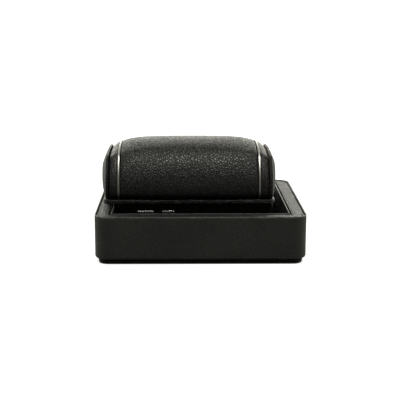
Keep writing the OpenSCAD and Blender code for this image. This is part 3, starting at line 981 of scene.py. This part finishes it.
@dataclass(frozen=True)
class Loaf:
    """Outline of the cuff across its length.

    It has a flat underside with round lower corners, sides that are part of an
    ellipse about the nose line, and a top that rises from the shoulders to a crown
    as a parabola.
    """

    half_depth: float
    base: float
    shoulder: float
    crown: float
    nose: float = 5.4 * MM
    share: float = 0.72
    lower_r: float = 4.0 * MM

    def half_ring(self) -> np.ndarray:
        """Right half, from the middle of the underside to the middle of the top.

        Returns:
            An array of (N, 2) points of depth and height.
        """
        nose = self.base + self.nose
        tall = (self.shoulder - nose) / self.share
        start = math.asin((self.base + self.lower_r - nose) / tall)
        width = self.half_depth * math.cos(start)
        lower = arc((width - self.lower_r, self.base + self.lower_r), self.lower_r, 270, 360, 8)
        t = np.linspace(start, math.asin(self.share), 25)[1:]
        flank = np.column_stack([self.half_depth * np.cos(t), nose + tall * np.sin(t)])
        u = np.linspace(1, 0, 25)[1:]
        top = np.column_stack([flank[-1, 0] * u, self.shoulder + self.crown * (1 - u * u)])
        return np.concatenate([[[0.0, self.base]], lower, flank, top])

    def ring(self, soften: float, count: int = 176) -> np.ndarray:
        """Whole outline at evenly spaced points, with its corners softened.

        The half is measured along its length, sampled evenly and mirrored; then
        each Fourier term of the closed ring is damped by exp(-(wave number times
        soften)^2 / 2), which is a blur along the outline.

        Args:
            soften: Width of the blur.
            count: Number of points, which is even.

        Returns:
            An array of (count, 2) points of depth and height, anticlockwise.
        """
        half = self.half_ring()
        along = np.concatenate([[0.0], np.cumsum(np.linalg.norm(np.diff(half, axis=0), axis=1))])
        place = np.linspace(0, along[-1], count // 2 + 1)
        right = np.column_stack([np.interp(place, along, half[:, k]) for k in (0, 1)])
        left = right[-2:0:-1] * np.array([-1.0, 1.0])
        ring = np.concatenate([right, left])
        terms = np.fft.fft(ring[:, 0] + 1j * ring[:, 1])
        number = 2 * math.pi * np.fft.fftfreq(count, along[-1] * 2 / count)
        smooth = np.fft.ifft(terms * np.exp(-((number * soften) ** 2) / 2))
        return np.column_stack([smooth.real, smooth.imag])


def outward(ring: np.ndarray) -> np.ndarray:
    """Unit normals of an anticlockwise ring: the tangent turned a quarter clockwise.

    Args:
        ring: (N, 2) points.

    Returns:
        An array of (N, 2) normals.
    """
    tangent = np.roll(ring, -1, 0) - np.roll(ring, 1, 0)
    tangent /= np.linalg.norm(tangent, axis=1, keepdims=True)
    return np.column_stack([tangent[:, 1], -tangent[:, 0]])


@dataclass
class Cuff(Assembly):
    """The bracelet cuff: cushion, trims, bolsters, end caps and saddle."""

    trim_proud: float = 0.35 * MM
    trim_rim: float = 0.3 * MM
    soften: float = 1.5 * MM
    cap_soften: float = 0.8 * MM
    cushion_bulge: float = 1.2 * MM
    end_crown: float = 1.4 * MM
    trim_crown: float = 4.0 * MM
    middle_rise: float = 2.4 * MM
    middle_crown: float = 4.6 * MM
    crown_power: float = 6.0
    tuck: float = 0.9 * MM
    tuck_length: float = 1.3 * MM
    cushion_rows: int = 79
    saddle_corner: float = 5.0 * MM
    saddle_edge: float = 0.85 * MM
    saddle_reach: float = 12 * MM
    cap_edge: float = 1.4 * MM
    cap_dip: float = 0.1 * MM
    cap_spacing: float = 1.3
    bolster_tuck: float = 0.55 * MM
    bolster_tuck_length: float = 0.8 * MM
    bolster_swell: float = 0.35 * MM
    bolster_over_spacer: float = 2.4 * MM
    hidden: float = 3 * MM
    held_from: float = 0.93
    held_blend: float = 0.05
    held_rise: float = 1.2
    cloth_quality: int = 6
    cloth_scale: float = 6.0
    cloth_pressure: float = 4.0
    cloth_frames: int = 20
    cloth_limit: float = 0.9 * MM
    # Stations and levels read from the frame.
    x: float = field(init=False)
    y: float = field(init=False)
    base: float = field(init=False)
    inner: float = field(init=False)
    outer: float = field(init=False)
    trim_width: float = field(init=False)
    bolster_end: float = field(init=False)
    cap_start: float = field(init=False)
    cap_end: float = field(init=False)
    half_depth: float = field(init=False)
    trim_shoulder: float = field(init=False)
    end_shoulder: float = field(init=False)
    cap_half: float = field(init=False)
    cap_shoulder: float = field(init=False)

    def __post_init__(self) -> None:
        """Reads the cuff's stations and levels from the frame, at its left half."""
        cover_low, cover_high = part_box("cushion_cover")
        trim_low, trim_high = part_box("trim_left")
        spacer_low, spacer_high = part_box("spacer_left")
        cap_low, cap_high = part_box("end_cap_left")
        self.x = (cover_low.x + cover_high.x) / 2
        self.y = (cover_low.y + cover_high.y) / 2
        self.base = cover_low.z
        self.inner = cover_high.x - self.x
        self.outer = self.x - trim_low.x
        self.trim_width = trim_high.x - trim_low.x
        self.bolster_end = self.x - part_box("bolster_left")[0].x
        self.cap_start = self.x - spacer_low.x
        self.cap_end = self.x - cap_low.x
        self.half_depth = (trim_high.y - trim_low.y) / 2 - self.trim_proud
        self.trim_shoulder = trim_high.z - self.trim_proud - self.trim_crown
        self.end_shoulder = spacer_high.z + self.bolster_over_spacer - self.end_crown
        self.cap_half = (cap_high.y - cap_low.y) / 2
        self.cap_shoulder = cap_high.z - self.end_crown

    def station(self, ring: np.ndarray, x: float) -> np.ndarray:
        """A ring of (depth, height) points set across the cuff at x from its middle."""
        return np.column_stack([np.full(len(ring), self.x + x), ring[:, 0] + self.y, ring[:, 1]])

    def trim_loaf(self) -> Loaf:
        """Outline at the trims."""
        return Loaf(self.half_depth, self.base, self.trim_shoulder, self.trim_crown)

    def end_loaf(self) -> Loaf:
        """Outline at the outer end of a bolster."""
        return Loaf(self.half_depth, self.base, self.end_shoulder, self.end_crown)

    def cushion_grid(self) -> np.ndarray:
        """The cushion's resting shape.

        At a place x the outline is fuller than at the trims by a share
        1 - |x / inner| ^ power, and a quarter circle turns it in at each end.

        Returns:
            An array of rings of points, from the left end to the right.
        """
        rows = np.linspace(-1, 1, self.cushion_rows)
        rings = []
        for s in rows:
            full = 1 - abs(s) ** self.crown_power
            loaf = Loaf(
                self.half_depth + self.cushion_bulge * full, self.base,
                self.trim_shoulder + self.middle_rise * full,
                self.trim_crown + (self.middle_crown - self.trim_crown) * full,
            )
            ring = loaf.ring(self.soften)
            past = abs(s) * self.inner - (self.inner - self.tuck_length)
            near = max(0.0, past) / self.tuck_length
            ring = ring - outward(ring) * self.tuck * (1 - math.sqrt(max(0.0, 1 - near * near)))
            rings.append(self.station(ring, s * self.inner))
        return np.stack(rings)

    def swell(self, piece: bpy.types.Object, held: np.ndarray) -> None:
        """Blows the leather up a little with cloth pressure, then keeps the result.

        The skin is copied at a larger scale, held at the given points and stepped
        with pressure and no gravity. Each point's motion is cut to the limit.

        Args:
            piece: The closed skin, whose points are moved.
            held: For each point, how firmly it is held, from 0 to 1.
        """
        count = len(piece.data.vertices)
        rest = np.empty(count * 3)
        piece.data.vertices.foreach_get("co", rest)
        rest = rest.reshape(-1, 3)
        mesh = piece.data.copy()
        mesh.vertices.foreach_set("co", (rest * self.cloth_scale).ravel())
        copy = bpy.data.objects.new("swelling", mesh)
        bpy.context.scene.collection.objects.link(copy)
        pins = copy.vertex_groups.new(name="held")
        for level in np.unique(held):
            pins.add(np.flatnonzero(held == level).tolist(), float(level), "REPLACE")
        cloth = copy.modifiers.new("cloth", "CLOTH")
        cloth.settings.quality = self.cloth_quality
        cloth.settings.use_pressure = True
        cloth.settings.uniform_pressure_force = self.cloth_pressure
        cloth.settings.effector_weights.gravity = 0.0
        cloth.settings.vertex_group_mass = "held"
        cloth.point_cache.frame_start, cloth.point_cache.frame_end = 1, self.cloth_frames
        for step in range(1, self.cloth_frames + 1):
            bpy.context.scene.frame_set(step)
        done = copy.evaluated_get(bpy.context.evaluated_depsgraph_get()).to_mesh()
        swollen = np.empty(count * 3)
        done.vertices.foreach_get("co", swollen)
        move = swollen.reshape(-1, 3) / self.cloth_scale - rest
        size = np.linalg.norm(move, axis=1, keepdims=True)
        log.info("cushion swells by up to %.2f mm, mean %.2f mm", size.max() / MM, size.mean() / MM)
        move *= np.minimum(1.0, self.cloth_limit / np.maximum(size, 1e-9))
        piece.data.vertices.foreach_set("co", (rest + move).ravel())
        piece.data.update()
        bpy.data.objects.remove(copy)
        bpy.context.scene.frame_set(1)

    def cushion(self) -> None:
        """Stuffed cushion between the trims, on its foam and core.

        While it swells it is held at its ends and along its underside, up to a little
        above the nose, and the hold fades over a short stretch.
        """
        grid = self.cushion_grid()
        piece = surface("cushion_leather", grid, looped=False, sharp=80)
        along = np.abs(np.linspace(-1, 1, grid.shape[0]))[:, None]
        rise = (grid[..., 2] - self.base) / self.trim_loaf().nose
        held = np.maximum(np.clip((along - self.held_from) / self.held_blend, 0, 1),
                          np.clip(self.held_rise - rise, 0, 1))
        self.swell(piece, np.round(held, 1).ravel())
        self.place(piece, self.palette.pebbled, Body.CUFF, "grained_leather", "cushion_cover", "cushion_foam")

    def trims(self) -> None:
        """Bright band at each end of the cushion: a rounded bar's section carried round the outline."""
        w, r, proud = self.trim_width, self.trim_rim, self.trim_proud
        section = np.concatenate([
            [[0.0, -self.hidden]], arc((r, proud - r), r, 180, 90), arc((w - r, proud - r), r, 90, 0),
            [[w, -self.hidden]],
        ])
        ring = self.trim_loaf().ring(self.soften)
        normal = outward(ring)
        for side in Side:
            grid = np.stack([
                self.station(ring + normal * rise, side.value * (self.outer - w + along))
                for along, rise in section
            ])
            edge = np.concatenate([[0.0], np.ones(len(section) - 2), [0.0]])
            piece = surface(f"trim_{side.word}_band", grid, looped=True, edge=edge, sharp=60)
            self.place(piece, self.palette.bright, Body.CUFF, "bright_metal", f"trim_{side.word}")

    def bolsters(self) -> None:
        """Padded bolster outside each trim.

        Its outline goes evenly from the trim's to the end's, swells by a half sine
        between them and turns in at both ends.
        """
        near, far = self.trim_loaf().ring(self.soften), self.end_loaf().ring(self.cap_soften)
        length = self.bolster_end - self.outer
        share = np.concatenate([[0.0], np.linspace(0, 1, 15), [1.0]])
        to_end = np.minimum(share, 1 - share) * length
        depth = self.bolster_tuck * np.clip(1 - to_end / self.bolster_tuck_length, 0, 1) ** 2
        depth[[0, -1]] = self.hidden
        swell = self.bolster_swell * np.sin(math.pi * share)
        for side in Side:
            rings = []
            for s, turn, puff in zip(share, depth, swell):
                ring = near + (far - near) * s
                rings.append(self.station(ring + outward(ring) * (puff - turn),
                                          side.value * (self.outer + s * length)))
            piece = surface(f"bolster_{side.word}_leather", np.stack(rings), looped=False, sharp=80)
            self.place(piece, self.palette.pebbled, Body.CUFF, "grained_leather", f"bolster_{side.word}")

    def caps(self) -> None:
        """Domed end cap: a wrapped board's edge, a fine seam, then a pad.

        The edge and the seam are pairs of distance along X and distance out from the
        outline, in millimetres. The pad's rings shrink towards the outline's middle by a share k while it
        rises as 1 - (1 - k) ^ 2 of the bulge, a parabola.
        """
        loaf = Loaf(self.cap_half, self.base, self.cap_shoulder, self.end_crown)
        ring = loaf.ring(self.cap_soften)
        normal = outward(ring)
        middle = ring.mean(0)
        bulge = self.cap_end - self.cap_start - self.cap_edge
        edge_rows = MM * np.array([
            (0.0, -3.0), (0.0, -0.5), (0.08, -0.2), (0.22, -0.05), (0.4, 0.0), (0.6, -0.04),
            (0.72, -0.6), (0.88, -0.6), (1.0, -0.1), (1.15, 0.0), (1.3, -0.06),
        ])
        k = np.linspace(0, 1, 28)[1:-1] ** self.cap_spacing
        rise = self.cap_edge - self.cap_dip + (bulge + self.cap_dip) * (1 - (1 - k) ** 2)
        for side in Side:
            rings = [self.station(ring + normal * out, side.value * (self.cap_start + along))
                     for along, out in edge_rows]
            rings += [self.station(middle + (ring - middle) * (1 - share),
                                   side.value * (self.cap_start + along)) for share, along in zip(k, rise)]
            edge = np.zeros(len(rings))
            edge[2:6] = 1.0
            edge[8:10] = 1.0
            piece = surface(f"end_cap_{side.word}_leather", np.stack(rings), looped=False, edge=edge,
                            sharp=70)
            self.place(piece, self.palette.pebbled, Body.CUFF, "grained_leather", f"end_cap_{side.word}")

    def saddle(self) -> None:
        """Leather-covered plate under the cushion, with softened edges."""
        low, high, centre, half = footprint("saddle_wrap")
        r = self.saddle_edge
        profile, edge = plate_profile(low.z, high.z, r, r, self.saddle_reach)
        grid = frame_grid(profile, half, self.saddle_corner, centre, arc_steps=12)
        piece = surface("saddle_leather", grid, looped=False, edge=edge, sharp=60)
        self.place(piece, self.palette.saddle, Body.CUFF, "grained_leather", "saddle_wrap")

    def inside(self) -> None:
        """Finishes of the core, the boards and the fittings."""
        self.dress(self.palette.board, "saddle_board", "cap_board_left", "cap_board_right")
        self.dress(self.palette.screw, "saddle_screws", "end_screws")
        self.dress(self.palette.brass, "locating_pegs")
        self.dress(self.palette.plastic, "cuff_core")
        self.dress(self.palette.dyed, "spacer_left", "spacer_right")

    def build(self) -> None:
        """Builds every piece of the cuff."""
        self.cushion()
        self.trims()
        self.bolsters()
        self.caps()
        self.saddle()
        self.inside()


# --- Studio -------------------------------------------------------------------


@dataclass
class Studio:
    """Pale floor, soft light and the camera."""

    eye: tuple[float, float, float] = (-0.012, -0.6147, 0.1655)
    down: float = 12.67
    right: float = 0.48
    lens: float = 85.47
    shift: Pair = (0.0281, 0.0019)
    floor_reach: float = 60.0
    floor_drop: float = 0.1 * MM
    floor_glow: float = 0.7
    back_light: float = 3.8
    side_light: float = 0.9
    room_light: float = 0.05
    seen_light: float = 1.2
    room_colour: Colour = (1.0, 0.995, 0.9)
    panel_at: tuple[float, float, float] = (0.05, -0.36, 1.0)
    panel_aim: tuple[float, float, float] = (0.0, 0.0, 0.05)
    panel_size: Pair = (0.7, 0.22)
    panel_power: float = 12.5
    panel_colour: Colour = (1.0, 1.0, 0.92)

    def camera(self) -> None:
        """Camera a little above the tray, turned down and slightly right."""
        data = bpy.data.cameras.new("camera")
        data.lens, data.sensor_width = self.lens, 36.0
        data.shift_x, data.shift_y = self.shift
        data.clip_start = 0.01
        made = bpy.data.objects.new("camera", data)
        turn = Matrix.Rotation(-math.radians(self.right), 4, "Z") @ Matrix.Rotation(
            math.radians(90 - self.down), 4, "X")
        made.matrix_world = Matrix.Translation(self.eye) @ turn
        bpy.context.scene.collection.objects.link(made)
        bpy.context.scene.camera = made

    def floor(self) -> None:
        """Wide pale floor just under the felt; it glows a little for the camera alone."""
        mesh = bpy.data.meshes.new("floor")
        signs = ((-1, -1), (1, -1), (1, 1), (-1, 1))
        corners = [(sx * self.floor_reach, sy * self.floor_reach, -self.floor_drop) for sx, sy in signs]
        mesh.from_pydata(corners, [], [(0, 1, 2, 3)])
        made = bpy.data.objects.new("floor", mesh)
        bpy.context.scene.collection.objects.link(made)
        material = bpy.data.materials.new("pale_floor")
        material.use_nodes = True
        n = Nodes(material.node_tree)
        shader = material.node_tree.nodes["Principled BSDF"]
        seen = n.add("ShaderNodeLightPath").outputs["Is Camera Ray"]
        n.join(n.mix(seen, (0.15, 0.15, 0.15, 1.0), (0.5, 0.5, 0.5, 1.0)), shader.inputs["Base Color"])
        glow = self.floor_glow
        n.join(n.mix(seen, (0.0, 0.0, 0.0, 1.0), (glow, glow, glow, 1.0)), shader.inputs["Emission Color"])
        shader.inputs["Emission Strength"].default_value = 1.0
        shader.inputs["Roughness"].default_value = 0.9
        mesh.materials.append(material)

    def world(self) -> None:
        """White room to the camera; to the tray, bright low behind and at the sides, dim elsewhere.

        The light from behind is the product of two smooth steps: one rises with the
        direction's Y part, and one falls with its height, so that the band straight
        above is dark. The sides add a smooth step of the X part's size.
        """
        world = bpy.data.worlds.new("room")
        bpy.context.scene.world = world
        world.use_nodes = True
        n = Nodes(world.node_tree)
        background = world.node_tree.nodes["Background"]
        direction = n.add("ShaderNodeSeparateXYZ")
        n.join(n.add("ShaderNodeTexCoord").outputs["Generated"], direction.inputs[0])
        behind = n.spread(direction.outputs["Y"], -0.1, 0.5, 0.0, 1.0)
        low = n.spread(direction.outputs["Z"], 0.28, 0.72, 1.0, 0.02)
        strength = n.math("MULTIPLY_ADD", n.math("MULTIPLY", behind, low), self.back_light, self.room_light)
        sides = n.spread(n.math("ABSOLUTE", direction.outputs["X"]), 0.55, 0.95, 0.0, self.side_light)
        strength = n.math("ADD", strength, sides)
        seen = n.add("ShaderNodeLightPath").outputs["Is Camera Ray"]
        strength = n.math("MAXIMUM", strength, n.math("MULTIPLY", seen, self.seen_light))
        n.join(strength, background.inputs["Strength"])
        background.inputs["Color"].default_value = (*self.room_colour, 1.0)

    def panel(self) -> None:
        """Wide soft light above the front."""
        data = bpy.data.lights.new("front_top", "AREA")
        data.shape, data.size, data.size_y = "RECTANGLE", *self.panel_size
        data.energy, data.color = self.panel_power, self.panel_colour
        made = bpy.data.objects.new("front_top", data)
        back = Vector(self.panel_at) - Vector(self.panel_aim)
        turn = back.to_track_quat("Z", "Y").to_matrix().to_4x4()
        made.matrix_world = Matrix.Translation(self.panel_at) @ turn
        bpy.context.scene.collection.objects.link(made)

    def build(self) -> None:
        """Sets up the whole studio."""
        self.camera()
        self.floor()
        self.world()
        self.panel()
        bpy.context.scene.view_settings.view_transform = "Standard"


def main() -> None:
    """Builds the studio, the case, the well and the cuff."""
    logging.basicConfig(level=logging.INFO, format="%(message)s")
    Studio().build()
    palette = Palette(Effects())
    for assembly in (Case(palette), Well(palette), Cuff(palette)):
        assembly.build()


if __name__ == "__main__":
    main()
